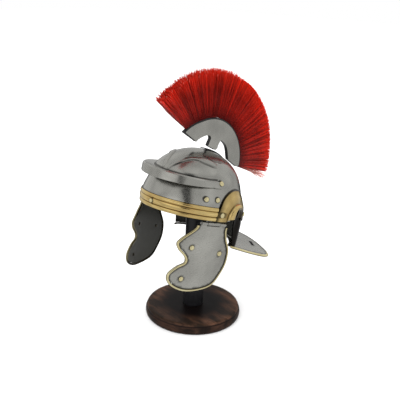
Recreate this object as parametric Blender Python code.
# A miniature roman legionary helmet on its display stand.
# Metres, +Z up. The helmet faces -Y, and the wearer's left is +X. The origin is the centre of the
# underside of the base. Sizes below are in millimetres, and build() turns them into metres.

import math

import bpy
import bmesh
from mathutils import Matrix, Vector
from mathutils.geometry import delaunay_2d_cdt

for old in list(bpy.data.objects):
    bpy.data.objects.remove(old)

MM = 0.001
GAP = 0.3  # clear space between neighbouring pieces

# Stand
BASE_RADIUS = 50.0
BASE_HEIGHT = 11.0
BASE_STEPS = 60
POST_RADIUS = 11.0
POST_DOME = 16.0  # radius of the post's rounded top
POST_HEADROOM = 0.5  # least space between that top and the crown

# The helmet's own frame has its origin in the middle of the rim, and leans back on the post.
LEAN = math.radians(-14.4)
RIM_CENTRE = (0.0, -10.4, 122.9)

# Bowl: an oval wall up to the shoulder, then half an ellipsoid
BOWL_HALF_WIDTH = 49.8
BOWL_HALF_LENGTH = 55.2
SHOULDER_Z = 13.8
DOME_HEIGHT = 49.8
SHEET = 1.2
RIM_TAPER = 0.0024  # how much the wall narrows for each mm below the shoulder
NAPE_TAPER = 0.0005  # the same, for each mm below the rim
WALL_TOP_Z = 21.0  # where the columns of the wall end and the rings of the dome start
NAPE_BOTTOM_Z = -23.0
NAPE_ARCH = 0.0024  # drop of the nape's lower edge with the square of x

# Ear opening in the bowl
EAR_CENTRE_Y = 14.75
EAR_HALF_WIDTH = 6.75
EAR_TOP_Z = 18.5
NAPE_FRONT_TOP = (21.5, 2.0)  # y, z where the nape's front edge starts
NAPE_FRONT_FOOT_Y = 27.0

# Brow band
BAND_HEIGHT = 13.8
BAND_END_Y = -11.8

# Peak
PEAK_END_ANGLE = 80.0  # degrees round from the front
PEAK_REACH = 14.6
PEAK_TOP_Z = (38.0, 39.6)  # height of its joint with the bowl, at the front and at the ends
PEAK_FACE = (7.0, 5.6)  # height of the turned-down face at the front and at the ends
PEAK_ROLL = 0.025  # the peak sits a little lower on the wearer's left

# Cheek guards
HINGE_MIDDLE = (46.7, -12.0, -3.2)
HINGE_TOE_IN = math.radians(14.0)
HINGE_HALF_LENGTH = 14.0
PIN_RADIUS = 0.75
PIN_END = 1.2  # how far the pin stands out at each end
PIN_PLAY = 0.35
KNUCKLE_RADIUS = 1.75
KNUCKLE_LENGTH = 6.5  # each of the plate's own two knuckles
PLATE = 1.2
CHEEK_TOP = 2.2  # from the pin down to the plate's upper edge
CHEEK_CURVE = 3.5  # how far the plate's front and rear edges curve in
CHEEK_HALF = 32.0  # from the plate's middle to those edges
CHEEK_FLAT = 13.0  # height over which the flat upper edge passes into the curve

# Crest
CREST_CENTRE = (9.5, 47.0)  # y, z of the crest box's arc
CREST_RADIUS = 48.0
CREST_HALF_WIDTH = 3.8
CREST_SIDE = 0.9
CORE_PROUD = 1.6
HOLDER_HALF_WIDTH = 6.0
HOLDER_THICK = 2.0
PLUME_LOCKS = 28
PLUME_CENTRE = (9.7, 41.9)  # y, z
PLUME_RADIUS = (98.5, 105.0)  # at the two ends and at the top
PLUME_ENDS = (143.5, 3.5)  # degrees from the back, at the front and at the back

STEEL = ((0.56, 0.56, 0.54), 1.0, 0.16)
BRASS = ((0.72, 0.52, 0.25), 1.0, 0.24)
BLACK = ((0.012, 0.012, 0.013), 0.0, 0.3)
WOOD = ((0.055, 0.030, 0.022), 0.0, 0.16)
BRISTLE = ((0.45, 0.012, 0.01), 0.0, 0.65)


def empty(name, matrix, parent=None):
    """A frame that pieces are placed in."""
    obj = bpy.data.objects.new(name, None)
    bpy.context.scene.collection.objects.link(obj)
    obj.parent = parent
    obj.matrix_basis = matrix
    return obj


def build(name, points, faces, look, parent=None, flip_x=False):
    """One object from points in millimetres, with its own material."""
    side = -1.0 if flip_x else 1.0
    mesh = bpy.data.meshes.new(name)
    mesh.from_pydata([(side * x * MM, y * MM, z * MM) for x, y, z in points], [], faces)
    shape = bmesh.new()
    shape.from_mesh(mesh)
    bmesh.ops.recalc_face_normals(shape, faces=shape.faces)
    bmesh.ops.triangulate(shape, faces=[face for face in shape.faces if len(face.verts) > 4])
    shape.to_mesh(mesh)
    shape.free()
    mesh.shade_smooth()
    mesh.set_sharp_from_angle(angle=math.radians(35))
    colour, metallic, roughness = look
    material = bpy.data.materials.new(name)
    material.use_nodes = True
    shader = material.node_tree.nodes["Principled BSDF"]
    shader.inputs["Base Color"].default_value = (*colour, 1.0)
    shader.inputs["Metallic"].default_value = metallic
    shader.inputs["Roughness"].default_value = roughness
    mesh.materials.append(material)
    obj = bpy.data.objects.new(name, mesh)
    bpy.context.scene.collection.objects.link(obj)
    obj.parent = parent
    return obj


def join(target, other):
    """Adds another object to the target. The other one stays in the file as a hidden helper."""
    other.hide_render = True
    other.display_type = "WIRE"
    union = target.modifiers.new(other.name, "BOOLEAN")
    union.operation = "UNION"
    union.solver = "EXACT"
    union.object = other


def strip(sections):
    """Faces and points of a bar through the given closed sections, with flat ends."""
    count = len(sections[0])
    points = [point for section in sections for point in section]
    faces = [tuple(range(count)), tuple(len(points) - 1 - k for k in range(count))]
    for i in range(len(sections) - 1):
        for j in range(count):
            k = (j + 1) % count
            faces.append((i * count + j, i * count + k, (i + 1) * count + k, (i + 1) * count + j))
    return points, faces


def turned(profile, steps):
    """Points and faces of a profile of (radius, height) turned about Z, closed at both ends."""
    points = []
    for radius, height in profile:
        for i in range(steps):
            turn = 2 * math.pi * i / steps
            points.append((radius * math.cos(turn), radius * math.sin(turn), height))
    faces = [tuple(range(steps)), tuple(len(points) - 1 - i for i in range(steps))]
    for j in range(len(profile) - 1):
        for i in range(steps):
            k = (i + 1) % steps
            faces.append((j * steps + i, j * steps + k, (j + 1) * steps + k, (j + 1) * steps + i))
    return points, faces


def inside(point, loop):
    """Whether a flat point lies inside a closed outline."""
    found = False
    for (x0, y0), (x1, y1) in zip(loop, loop[1:] + loop[:1]):
        if (y0 > point[1]) != (y1 > point[1]) and point[0] < x0 + (point[1] - y0) * (x1 - x0) / (y1 - y0):
            found = not found
    return found


def sheet(loops, shape, extra=()):
    """Points and faces of a plate: the first loop is its outline, the rest are holes.

    shape(u, v, side) gives a point of the back (side 0) or the front (side 1).
    """
    flat = [Vector(point) for loop in loops for point in loop] + [Vector(point) for point in extra]
    edges = []
    start = 0
    for loop in loops:
        edges += [(start + i, start + (i + 1) % len(loop)) for i in range(len(loop))]
        start += len(loop)
    found, _, triangles, *_ = delaunay_2d_cdt(flat, edges, [], 1, 1e-5)
    kept = []
    for triangle in triangles:
        middle = sum((found[i] for i in triangle), Vector((0, 0))) / 3
        if not any(inside(middle, loop) for loop in loops[1:]):
            kept.append(triangle)
    count = len(found)
    points = [shape(point.x, point.y, side) for side in (0, 1) for point in found]
    faces = [tuple(reversed(triangle)) for triangle in kept]
    faces += [tuple(count + i for i in triangle) for triangle in kept]
    uses = {}
    for triangle in kept:
        for a, b in zip(triangle, triangle[1:] + triangle[:1]):
            uses.setdefault(frozenset((a, b)), []).append((a, b))
    for pair in uses.values():
        if len(pair) == 1:
            a, b = pair[0]
            faces.append((a, b, count + b, count + a))
    return points, faces


def inset(loop, distance):
    """The outline moved inwards by a distance, on mitred corners. A negative distance moves it out."""
    area = sum(x0 * y1 - x1 * y0 for (x0, y0), (x1, y1) in zip(loop, loop[1:] + loop[:1]))
    turn = 1.0 if area > 0 else -1.0
    moved = []
    for before, here, after in zip(loop[-1:] + loop[:-1], loop, loop[1:] + loop[:1]):
        first = (Vector(here) - Vector(before)).normalized()
        second = (Vector(after) - Vector(here)).normalized()
        normal = Vector((-first.y - second.y, first.x + second.x)).normalized()
        stretch = max(0.5, normal.dot(Vector((-first.y, first.x))))
        point = Vector(here) + normal * (turn * distance / stretch)
        moved.append((point.x, point.y))
    return moved


# The bowl's surface

def scale_at(z):
    """The bowl's outline at a height, as a share of its full size."""
    if z > SHOULDER_Z:
        return math.sqrt(max(0.0, 1 - ((z - SHOULDER_Z) / DOME_HEIGHT) ** 2))
    return 1 - RIM_TAPER * (SHOULDER_Z - max(z, 0.0)) + NAPE_TAPER * min(z, 0.0)


def raised(x, y, z, off):
    """A point of the bowl moved out along the surface's normal."""
    up = max(0.0, z - SHOULDER_Z) / DOME_HEIGHT**2
    normal = Vector((x / BOWL_HALF_WIDTH**2, y / BOWL_HALF_LENGTH**2, up)).normalized()
    return Vector((x, y, z)) + normal * off


def bowl(angle, z, off=0.0):
    """A point at an angle round from the front and a height, off the bowl's outer face."""
    scale = scale_at(z)
    x = BOWL_HALF_WIDTH * scale * math.sin(angle)
    y = -BOWL_HALF_LENGTH * scale * math.cos(angle)
    return raised(x, y, z, off)


def bowl_side(y, z, off=0.0):
    """A point on the wearer's left of the bowl."""
    scale = scale_at(z)
    x = BOWL_HALF_WIDTH * scale * math.sqrt(max(0.0, 1 - (y / BOWL_HALF_LENGTH / scale) ** 2))
    return raised(x, y, z, off)


def bowl_top(x, y, off=0.0):
    """A point of the dome above (x, y)."""
    share = 1 - (x / BOWL_HALF_WIDTH) ** 2 - (y / BOWL_HALF_LENGTH) ** 2
    return raised(x, y, SHOULDER_Z + DOME_HEIGHT * math.sqrt(max(0.0, share)), off)


def angle_of(y, z=0.0):
    """The angle round from the front at which the bowl reaches y."""
    return math.acos(-y / (BOWL_HALF_LENGTH * scale_at(z)))


def nape_bottom(x):
    return NAPE_BOTTOM_Z - NAPE_ARCH * x * x


def skull_columns():
    """Angle and lower edge of each column of the bowl, from the front to the back."""
    spring = EAR_TOP_Z - EAR_HALF_WIDTH
    front = angle_of(EAR_CENTRE_Y - EAR_HALF_WIDTH)
    back = angle_of(EAR_CENTRE_Y + EAR_HALF_WIDTH)
    split = math.radians(0.06)  # the two columns at an upright edge
    columns = [((front - split) * i / 13, 0.0) for i in range(14)]
    columns.append((front + split, spring))
    for i in range(1, 6):
        turn = math.pi * i / 6
        y = EAR_CENTRE_Y - EAR_HALF_WIDTH * math.cos(turn)
        columns.append((angle_of(y), spring + EAR_HALF_WIDTH * math.sin(turn)))
    top_y, top_z = NAPE_FRONT_TOP
    columns.append((back - split, spring))
    columns.append((back + split, top_z))
    foot_z = nape_bottom(BOWL_HALF_WIDTH * 0.83)
    foot = angle_of(NAPE_FRONT_FOOT_Y, foot_z)
    columns.append(((back + foot) / 2, (top_z + foot_z) / 2))
    for i in range(9):
        angle = foot + (math.pi - foot) * i / 8
        columns.append((angle, nape_bottom(BOWL_HALF_WIDTH * 0.955 * math.sin(angle))))
    return columns


def skull():
    half = skull_columns()
    columns = half + [(-angle, low) for angle, low in half[-2:0:-1]]
    start = math.asin((WALL_TOP_Z - SHOULDER_Z) / DOME_HEIGHT)
    heights = [SHOULDER_Z + DOME_HEIGHT * math.sin(start + (math.pi / 2 - start) * i / 8) for i in range(1, 8)]
    count = 5 + len(heights)
    points = []
    for off in (0.0, -SHEET):
        for angle, low in columns:
            wall = [low + (WALL_TOP_Z - low) * i / 4 for i in range(5)]
            points += [bowl(angle, z, off) for z in wall + heights]
    poles = len(points)
    points += [bowl_top(0, 0), bowl_top(0, 0, -SHEET)]
    faces = []
    total = len(columns)
    for i in range(total):
        a = i * count
        b = (i + 1) % total * count
        inner = total * count
        for j in range(count - 1):
            faces.append((a + j, b + j, b + j + 1, a + j + 1))
            faces.append((inner + a + j + 1, inner + b + j + 1, inner + b + j, inner + a + j))
        faces.append((a + count - 1, b + count - 1, poles))
        faces.append((inner + b + count - 1, inner + a + count - 1, poles + 1))
        faces.append((b, a, inner + a, inner + b))
    body = build("skull", points, faces, STEEL, helmet)
    for flip in (False, True):
        join(body, eyebrow(flip))


# The pressed eyebrow's upper and lower edges, seen from above, from the nose to the temple
EYEBROW = [
    # upper x, y   lower x, y
    (3.9, -43.2, 3.7, -46.3),
    (7.4, -35.6, 9.6, -39.9),
    (10.8, -27.9, 14.0, -32.4),
    (17.0, -21.2, 18.6, -26.4),
    (21.9, -15.3, 24.4, -22.2),
    (27.8, -9.9, 30.1, -15.7),
    (31.6, -7.3, 32.3, -10.5),
]


def eyebrow(flip):
    sections = []
    for upper_x, upper_y, lower_x, lower_y in EYEBROW:
        section = []
        for along, off in ((0.0, -0.6), (0.0, 0.0), (0.3, 0.9), (0.7, 0.9), (1.0, 0.0), (1.0, -0.6)):
            x = upper_x + (lower_x - upper_x) * along
            y = upper_y + (lower_y - upper_y) * along
            section.append(bowl_top(x, y, off))
        sections.append(section)
    points, faces = strip(sections)
    return build("eyebrow_right" if flip else "eyebrow_left", points, faces, STEEL, helmet, flip)


def brow_band():
    profile = [
        # off the bowl, height
        (1.0, 0.0),
        (1.7, 0.7),
        (1.7, 3.0),
        (0.9, 4.1),
        (1.7, 5.4),
        (1.7, 8.2),
        (0.9, 9.4),
        (1.6, 10.6),
        (1.4, 12.8),
        (0.8, BAND_HEIGHT),
        (GAP, BAND_HEIGHT),
        (GAP, 0.0),
    ]
    end = angle_of(BAND_END_Y)
    steps = 30
    sections = []
    for i in range(steps + 1):
        angle = end * (2 * i / steps - 1)
        sections.append([bowl(angle, z, off) for off, z in profile])
    points, faces = strip(sections)
    build("brow_band", points, faces, BRASS, helmet)


def peak_level(angle):
    """Height of the peak's joint with the bowl, and how far along from its ends to the front it is."""
    front = max(0.0, math.cos(angle * 90 / PEAK_END_ANGLE)) ** 1.3
    level = PEAK_TOP_Z[1] + (PEAK_TOP_Z[0] - PEAK_TOP_Z[1]) * front
    return level - PEAK_ROLL * BOWL_HALF_WIDTH * math.sin(angle), front


def peak():
    steps = 28
    sections = []
    for i in range(steps + 1):
        angle = math.radians(PEAK_END_ANGLE) * (2 * i / steps - 1)
        level, front = peak_level(angle)
        face = PEAK_FACE[1] + (PEAK_FACE[0] - PEAK_FACE[1]) * front
        out = Vector((math.sin(angle), -math.cos(angle), 0))
        fold = bowl(angle, level - 1.0, 1.7) + out * (PEAK_REACH * front) + Vector((0, 0, 0.4 * front))
        inner = fold - out * (SHEET * front + 0.6)
        section = [bowl(angle, level, GAP + 0.1), inner + Vector((0, 0, 0.7))]
        for drop, deep in ((0.6, 0.0), (face, 0.0), (face, SHEET), (1.5, SHEET)):
            near = bowl(angle, fold.z - drop, 1.7 - deep)
            far = fold - out * deep - Vector((0, 0, drop))
            section.append(near if near.xy.length > far.xy.length else far)
        section.append(bowl(angle, level - 1.3, GAP + 0.1))
        sections.append(section)
    points, faces = strip(sections)
    build("peak", points, faces, STEEL, helmet)


def ear_guard(name, flip):
    rings = [
        # half width, top, foot, middle, off the bowl
        (24.3, 31.2, 0.0, 13.0, GAP + 0.1),
        (24.3, 31.2, 0.0, 13.0, 1.8),
        (19.0, 27.4, 0.0, 13.3, 1.9),
        (14.2, 23.8, 0.0, 13.6, 2.0),
        (13.0, 23.0, 3.0, 13.8, 4.6),
        (10.4, 21.4, 3.6, 14.2, 6.0),
        (7.6, 19.2, 3.9, EAR_CENTRE_Y, 5.2),
        (6.9, 18.7, 3.9, EAR_CENTRE_Y, 3.8),
        (8.4, 19.8, 3.9, EAR_CENTRE_Y, 3.6),
        (10.4, 21.2, 3.6, 14.2, 4.4),
        (12.6, 22.6, 3.0, 13.8, 3.0),
        (13.4, 23.2, 0.0, 13.6, GAP + 0.1),
        (19.0, 27.4, 0.0, 13.3, GAP + 0.1),
    ]
    stations = [("leg", -1, 0.0), ("leg", -1, 0.5)]
    stations += [("arch", 0, i / 10) for i in range(11)]
    stations += [("leg", 1, 0.5), ("leg", 1, 0.0)]
    sections = []
    for kind, side, share in stations:
        section = []
        for half, top, foot, middle, off in rings:
            spring = max(foot, top - half)
            y = middle + side * half
            z = foot + (spring - foot) * share
            if kind == "arch":
                y = middle - half * math.cos(math.pi * share)
                z = spring + (top - spring) * math.sin(math.pi * share)
            section.append(bowl_side(y, z, off))
        sections.append(section)
    points, faces = strip(sections)
    build(name, points, faces, BRASS, helmet, flip)


# Nape and neck guard

NECK_EDGE = [
    # x, y of the neck guard's outer edge, from the middle of the back to the front corner
    (0.0, 82.5),
    (16.0, 82.0),
    (32.0, 79.8),
    (45.0, 76.6),
    (54.0, 73.0),
    (59.0, 69.0),
    (60.6, 63.0),
    (59.0, 55.0),
    (54.5, 45.0),
    (48.5, 35.0),
    (42.6, 26.6),
]


def mirrored(half):
    """A whole outline from the half at +X, which starts on the middle line."""
    return half + [(-x, y) for x, y in reversed(half) if x > 0.01]


def neck_guard():
    inner = []
    for i in range(7):
        turn = math.radians(90 - 62 * i / 6)
        inner.append((45.2 * math.cos(turn), 50.4 * math.sin(turn)))
    edge = inset_open(NECK_EDGE, 2.2)
    right = [(x, y) for x, y in reversed(edge)]
    left = [(-x, y) for x, y in edge[1:]]
    outline = right + left + [(-x, y) for x, y in reversed(inner)][:-1] + inner
    slot = [(33.4, 70.6), (42.6, 65.2), (41.7, 63.7), (32.5, 69.1)]
    other = [(-x, y) for x, y in slot]

    def shape(x, y, side):
        return (x, y, nape_bottom(x) - GAP - PLATE * (1 - side))

    points, faces = sheet([outline, slot, other], shape)
    build("neck_guard", points, faces, STEEL, helmet)


def inset_open(path, distance):
    """A path from the middle line moved inwards, keeping its first point on the line."""
    whole = mirrored(path)
    moved = inset(whole, distance)[: len(path)]
    moved[0] = (0.0, path[0][1] - distance)
    last_x, last_y = path[-1]
    moved[-1] = (last_x - 1.0, last_y + distance)
    return moved


def neck_trim():
    outer = inset_open(NECK_EDGE, 0.0)
    outer[-1] = NECK_EDGE[-1]
    inner = inset_open(NECK_EDGE, 1.9)
    inner[-1] = (NECK_EDGE[-1][0], NECK_EDGE[-1][1] + 1.9)
    whole_outer = [(-x, y) for x, y in reversed(outer[1:])] + outer
    whole_inner = [(-x, y) for x, y in reversed(inner[1:])] + inner
    sections = []
    for (x0, y0), (x1, y1) in zip(whole_outer, whole_inner):
        section = []
        for along, rise in ((0.0, 0.3), (0.4, 1.0), (1.0, 1.0), (1.0, -1.6), (0.4, -1.6), (0.0, -0.9)):
            x = x0 + (x1 - x0) * along
            y = y0 + (y1 - y0) * along
            section.append((x, y, nape_bottom(x) - GAP - PLATE / 2 + rise + 0.3))
        sections.append(section)
    points, faces = strip(sections)
    build("neck_trim", points, faces, BRASS, helmet)


# Cheek guards: outlines on the plate, along the pin towards the back, and down from the pin

CHEEK_SHAPE = [
    # along, down: the front edge with its two lobes, the foot, then the rear edge
    (-18.2, CHEEK_TOP),
    (-19.9, 6.0),
    (-30.6, 17.2),
    (-33.9, 23.0),
    (-30.6, 29.2),
    (-22.9, 35.6),
    (-21.4, 41.0),
    (-28.8, 47.2),
    (-34.6, 55.0),
    (-33.0, 63.0),
    (-25.4, 68.6),
    (-12.5, 71.1),
    (4.5, 68.8),
    (17.0, 63.6),
    (24.4, 52.4),
    (28.7, 40.0),
    (27.4, 26.0),
    (21.2, 15.0),
    (17.4, 6.4),
    (17.2, CHEEK_TOP),
]


def smooth(path, steps):
    """A smooth curve through the points, with this many pieces between each two."""
    ends = [path[0]] + path + [path[-1]]
    curve = []
    for before, start, end, after in zip(ends, ends[1:], ends[2:], ends[3:]):
        for i in range(steps):
            t = i / steps
            point = []
            for p0, p1, p2, p3 in zip(before, start, end, after):
                bend = (2 * p0 - 5 * p1 + 4 * p2 - p3) * t**2 + (3 * p1 - p0 - 3 * p2 + p3) * t**3
                point.append(p1 + ((p2 - p0) * t + bend) / 2)
            curve.append(tuple(point))
    return curve + [path[-1]]


CHEEK_EDGE = smooth(CHEEK_SHAPE, 2)


def bulge(along, down):
    """How far the plate stands out from its own flat: it curves in at the front and the back."""
    share = min(1.0, max(0.0, (down - CHEEK_TOP) / CHEEK_FLAT))
    return -CHEEK_CURVE * (along / CHEEK_HALF) ** 2 * share


def cheek_frame(flip):
    """Where the pin is: X runs back along it and Z points up the hanging plate."""
    along = Vector((math.sin(HINGE_TOE_IN), math.cos(HINGE_TOE_IN), 0))
    gravity = Vector((0, -math.sin(LEAN), -math.cos(LEAN)))
    down = (gravity - along * gravity.dot(along)).normalized()
    inward = along.cross(down)
    frame = Matrix((along, inward, -down)).transposed().to_4x4()
    frame.translation = Vector(HINGE_MIDDLE) * MM
    if flip:
        across = Matrix.Diagonal((-1, 1, 1, 1))
        frame = across @ frame @ Matrix.Diagonal((1, -1, 1, 1))
    return empty("cheek_axis_right" if flip else "cheek_axis_left", frame, helmet)


def on_plate(along, down, off, flip):
    """A point off the plate's middle surface, in the pin's frame."""
    inward = -(bulge(along, down) + off)
    return (along, -inward if flip else inward, -down)


def ring(start, end, outer, inner, steps=12):
    """Points and faces of a tube along X, or of a solid bar where inner is 0."""
    sections = []
    profile = [(outer, start), (outer, end)]
    if inner:
        profile += [(inner, end), (inner, start)]
    for i in range(steps):
        turn = 2 * math.pi * i / steps
        sections.append([(x, r * math.cos(turn), r * math.sin(turn)) for r, x in profile])
    points = [point for section in sections for point in section]
    count = len(profile)
    faces = []
    for i in range(steps):
        k = (i + 1) % steps
        for j in range(count if inner else 1):
            n = (j + 1) % count
            faces.append((i * count + j, i * count + n, k * count + n, k * count + j))
    if not inner:
        faces.append(tuple(i * count for i in range(steps)))
        faces.append(tuple(i * count + 1 for i in range(steps)))
    return points, faces


def box(x0, x1, y0, y1, z0, z1):
    points = [(x, y, z) for x in (x0, x1) for y in (y0, y1) for z in (z0, z1)]
    faces = [(0, 1, 3, 2), (4, 6, 7, 5), (0, 4, 5, 1), (2, 3, 7, 6), (0, 2, 6, 4), (1, 5, 7, 3)]
    return points, faces


def cheek_guard(side, flip):
    axis = cheek_frame(flip)
    inner_end = HINGE_HALF_LENGTH - KNUCKLE_LENGTH

    outline = inset(CHEEK_EDGE, 1.9)
    outline[0] = (CHEEK_EDGE[0][0] + 2.2, CHEEK_TOP)
    outline[-1] = (CHEEK_EDGE[-1][0] - 2.2, CHEEK_TOP)
    outline += [(along, CHEEK_TOP) for along in (9.0, 3.0, -3.0, -9.0)]
    middle = [(along, down) for down in (7, 15, 26, 38, 50, 61) for along in (-24, -15, -8, 0, 8, 15, 20)]
    middle = [point for point in middle if inside(point, inset(outline, 2.4))]
    points, faces = sheet(
        [outline],
        lambda along, down, face: on_plate(along, down, PLATE * (face - 0.5), flip),
        middle,
    )
    plate = build("cheek_guard_" + side, points, faces, STEEL, axis)
    for name, start in (("front", -HINGE_HALF_LENGTH), ("rear", inner_end)):
        points, faces = ring(start, start + KNUCKLE_LENGTH, KNUCKLE_RADIUS, PIN_RADIUS + PIN_PLAY)
        loop = build("cheek_knuckle_" + name + "_" + side, points, faces, STEEL, axis)
        points, faces = box(start, start + KNUCKLE_LENGTH, -PLATE / 2, PLATE / 2, -3.4, -1.4)
        tab = build("cheek_tab_" + name + "_" + side, points, faces, STEEL, axis)
        join(plate, tab)
        join(plate, loop)

    outer = CHEEK_EDGE
    inner = inset(CHEEK_EDGE, 1.6)
    inner[0] = (outer[0][0] + 1.8, outer[0][1])
    inner[-1] = (outer[-1][0] - 1.8, outer[-1][1])
    sections = []
    for (u0, v0), (u1, v1) in zip(outer, inner):
        section = []
        for share, off in ((0.0, -0.7), (0.0, 0.7), (0.35, 1.25), (1.0, 1.25), (1.0, -1.25), (0.35, -1.25)):
            along = u0 + (u1 - u0) * share
            down = v0 + (v1 - v0) * share
            section.append(on_plate(along, down, off, flip))
        sections.append(section)
    points, faces = strip(sections)
    build("cheek_trim_" + side, points, faces, BRASS, axis)

    for number, (along, down) in enumerate(((-17.6, 25.6), (16.0, 29.8), (-20.6, 58.3)), 1):
        normal = Vector((0, 1 if flip else -1, 0))
        place = Vector(on_plate(along, down, PLATE / 2 + 0.25, flip))
        rivet(f"cheek_rivet_{number}_{side}", place, normal, axis)

    hinge(side, flip, axis, inner_end)


def hinge(side, flip, axis, inner_end):
    """The leaf on the bowl, with its one long knuckle and the pin that runs through all three."""
    half = inner_end - GAP
    points, faces = ring(-half, half, KNUCKLE_RADIUS, 0)
    leaf = build("cheek_hinge_" + side, points, faces, STEEL, axis)
    points, faces = ring(-HINGE_HALF_LENGTH - PIN_END, HINGE_HALF_LENGTH + PIN_END, PIN_RADIUS, 0)
    join(leaf, build("cheek_pin_" + side, points, faces, STEEL, axis))
    corner = [(0.0, -0.6), (2.9, -0.6), (2.9, 11.5), (2.0, 11.5), (2.0, 0.5), (0.0, 0.5)]
    side_of = -1.0 if flip else 1.0
    points, faces = strip([[(x, side_of * inward, up) for inward, up in corner] for x in (-7.0, -1.5)])
    join(leaf, build("cheek_leaf_" + side, points, faces, STEEL, axis))


def rivet(name, place, normal, parent, radius=2.4, height=1.5):
    """A domed rivet head, with its flat side a little off the surface."""
    profile = [(radius, 0.0), (radius * 0.94, height * 0.45), (radius * 0.66, height * 0.82), (radius * 0.2, height)]
    points, faces = turned(profile, 12)
    turn = Vector((0, 0, 1)).rotation_difference(Vector(normal)).to_matrix()
    points = [turn @ Vector(point) + Vector(place) for point in points]
    build(name, points, faces, BRASS, parent)


def helmet_rivets():
    rivet("brow_band_rivet", bowl(0.0, 6.8, 1.95), (0, -1, 0), helmet, 2.2)
    spots = [
        # name, y, z, distance off the bowl
        ("peak_rivet", -10.0, 36.6, 1.95),
        ("side_rivet_front", -25.8, 20.3, 0.25),
        ("side_rivet_rear", -13.8, 21.0, 0.25),
        ("ear_rivet_front", -6.4, 6.8, 2.1),
        ("ear_rivet_rear", 33.0, 6.8, 2.1),
    ]
    for name, y, z, off in spots:
        place = bowl_side(y, z, off)
        normal = (bowl_side(y, z, off + 1) - place).normalized()
        rivet(name + "_left", place, normal, helmet)
        across = Vector((-1, 1, 1))
        rivet(name + "_right", place * across, normal * across, helmet)


# Crest, as outlines seen from the side: y forwards is negative, z up

def arc(radius, first, last, steps):
    """Points round the crest's centre. Angles are in degrees from the back, over the top."""
    centre_y, centre_z = CREST_CENTRE
    turns = [math.radians(first + (last - first) * i / steps) for i in range(steps + 1)]
    return [(centre_y + radius * math.cos(t), centre_z + radius * math.sin(t)) for t in turns]


def crest_outline(grow):
    """The crest box from the side, with its outer arc and front end moved out by grow."""
    outer = arc(CREST_RADIUS + grow, 5 - grow * 0.5, 146 + grow, 14)
    inner = [
        (-15.8, 70.4),
        (-13.9, 72.8),
        (-8.5, 76.1),
        (-2.7, 78.4),
        (2.3, 77.9),
        (3.8, 75.4),
        (0.6, 66.8),
        (7.5, 66.5),
        (14.6, 64.9),
        (17.9, 68.0),
        (22.2, 74.3),
        (26.0, 73.6),
        (34.6, 66.6),
        (38.4, 57.8),
        (40.6, 49.2),
    ]
    return outer + inner


def crest():
    for side, flip in (("left", False), ("right", True)):
        points, faces = sheet(
            [crest_outline(0.0)],
            lambda y, z, face: (CREST_HALF_WIDTH - CREST_SIDE * face, y, z),
        )
        build("crest_plate_" + side, points, faces, STEEL, helmet, flip)
    half = CREST_HALF_WIDTH - CREST_SIDE - GAP
    points, faces = sheet([crest_outline(CORE_PROUD)], lambda y, z, face: (half * (2 * face - 1), y, z))
    build("crest_core", points, faces, BLACK, helmet)

    sections = []
    for y in (-1.0, 3.0, 8.0, 14.0, 20.0, 25.0, 29.0):
        section = []
        for x in (-1.0, -0.5, 0.0, 0.5, 1.0):
            section.append(bowl_top(x * HOLDER_HALF_WIDTH, y, GAP + HOLDER_THICK))
        for x in (1.0, 0.5, 0.0, -0.5, -1.0):
            section.append(bowl_top(x * HOLDER_HALF_WIDTH, y, GAP))
        sections.append(section)
    points, faces = strip(sections)
    build("crest_holder", points, faces, BLACK, helmet)


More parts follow.
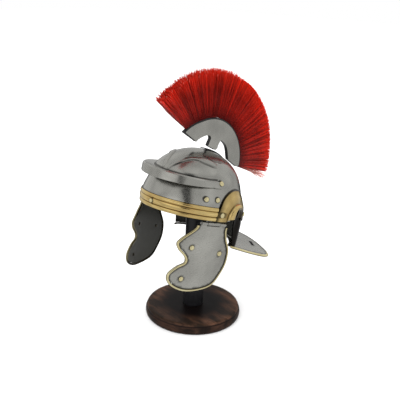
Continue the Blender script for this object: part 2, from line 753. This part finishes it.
def plume():
    rows = [
        # share of the way out, half width, depth of the groove
        (0.0, 2.6, 0.0),
        (0.3, 4.2, 0.3),
        (0.65, 6.2, 0.8),
        (0.95, 7.5, 1.2),
    ]
    columns = 2 * PLUME_LOCKS + 1
    roots = arc(CREST_RADIUS + CORE_PROUD + 0.45, 145, 2.5, columns - 1)
    points = []
    for i, root in enumerate(roots):
        share = i / (columns - 1)
        turn = math.radians(PLUME_ENDS[0] + (PLUME_ENDS[1] - PLUME_ENDS[0]) * share)
        radius = PLUME_RADIUS[0] + (PLUME_RADIUS[1] - PLUME_RADIUS[0]) * math.sin(math.pi * share)
        tip = (PLUME_CENTRE[0] + radius * math.cos(turn), PLUME_CENTRE[1] + radius * math.sin(turn))
        groove = i % 2 == 0
        reach = 0.975 if groove else 1.0
        for face in (-1, 1):
            for along, half, depth in rows:
                half -= depth if groove else 0.0
                place = along * reach
                y = root[0] + (tip[0] - root[0]) * place
                z = root[1] + (tip[1] - root[1]) * place
                points.append((face * half, y, z))
        y = root[0] + (tip[0] - root[0]) * reach
        z = root[1] + (tip[1] - root[1]) * reach
        points.append((0.0, y, z))
    half_count = len(rows)
    count = 2 * half_count + 1
    loop = list(range(half_count)) + [count - 1] + list(range(2 * half_count - 1, half_count - 1, -1))
    faces = [tuple(loop), tuple((columns - 1) * count + k for k in loop)]
    for i in range(columns - 1):
        for a, b in zip(loop, loop[1:] + loop[:1]):
            faces.append((i * count + a, i * count + b, (i + 1) * count + b, (i + 1) * count + a))
    build("plume", points, faces, BRISTLE, helmet)


def stand():
    profile = [
        (BASE_RADIUS - 0.9, 0.0),
        (BASE_RADIUS, 0.9),
        (BASE_RADIUS, BASE_HEIGHT - 4.0),
        (BASE_RADIUS - 0.3, BASE_HEIGHT - 1.4),
        (BASE_RADIUS - 1.0, BASE_HEIGHT - 0.4),
        (BASE_RADIUS - 2.2, BASE_HEIGHT),
    ]
    points, faces = turned(profile, BASE_STEPS)
    build("base", points, faces, WOOD)

    def post_profile(height):
        """The post up to the start of its dome at this height, then the dome."""
        drop = math.sqrt(POST_DOME**2 - POST_RADIUS**2)
        rings = [(POST_RADIUS, BASE_HEIGHT + GAP), (POST_RADIUS, height)]
        for i in range(1, 6):
            radius = POST_RADIUS * (1 - i / 6)
            rings.append((radius, height + math.sqrt(POST_DOME**2 - radius**2) - drop))
        return rings

    # The dome stops just under the crown: the post is shortened by the least space above it.
    to_world = Matrix.Translation(Vector(RIM_CENTRE)) @ Matrix.Rotation(LEAN, 4, "X")
    crown = [to_world @ bowl_top(x, y, -SHEET) for x in range(-16, 17, 2) for y in range(-26, 27)]
    room = []
    for point in crown:
        across = point.xy.length
        if across < POST_RADIUS + 1:
            dome = math.sqrt(POST_DOME**2 - min(across, POST_RADIUS) ** 2)
            room.append(point.z - dome)
    shoulder = min(room) - POST_HEADROOM + math.sqrt(POST_DOME**2 - POST_RADIUS**2)
    points, faces = turned(post_profile(shoulder), 28)
    build("post", points, faces, BLACK)


lean = Matrix.Translation(Vector(RIM_CENTRE) * MM) @ Matrix.Rotation(LEAN, 4, "X")
helmet = empty("helmet_frame", lean)

stand()
skull()
brow_band()
peak()
neck_guard()
neck_trim()
helmet_rivets()
crest()
plume()
for side, flip in (("left", False), ("right", True)):
    ear_guard("ear_guard_" + side, flip)
    cheek_guard(side, flip)
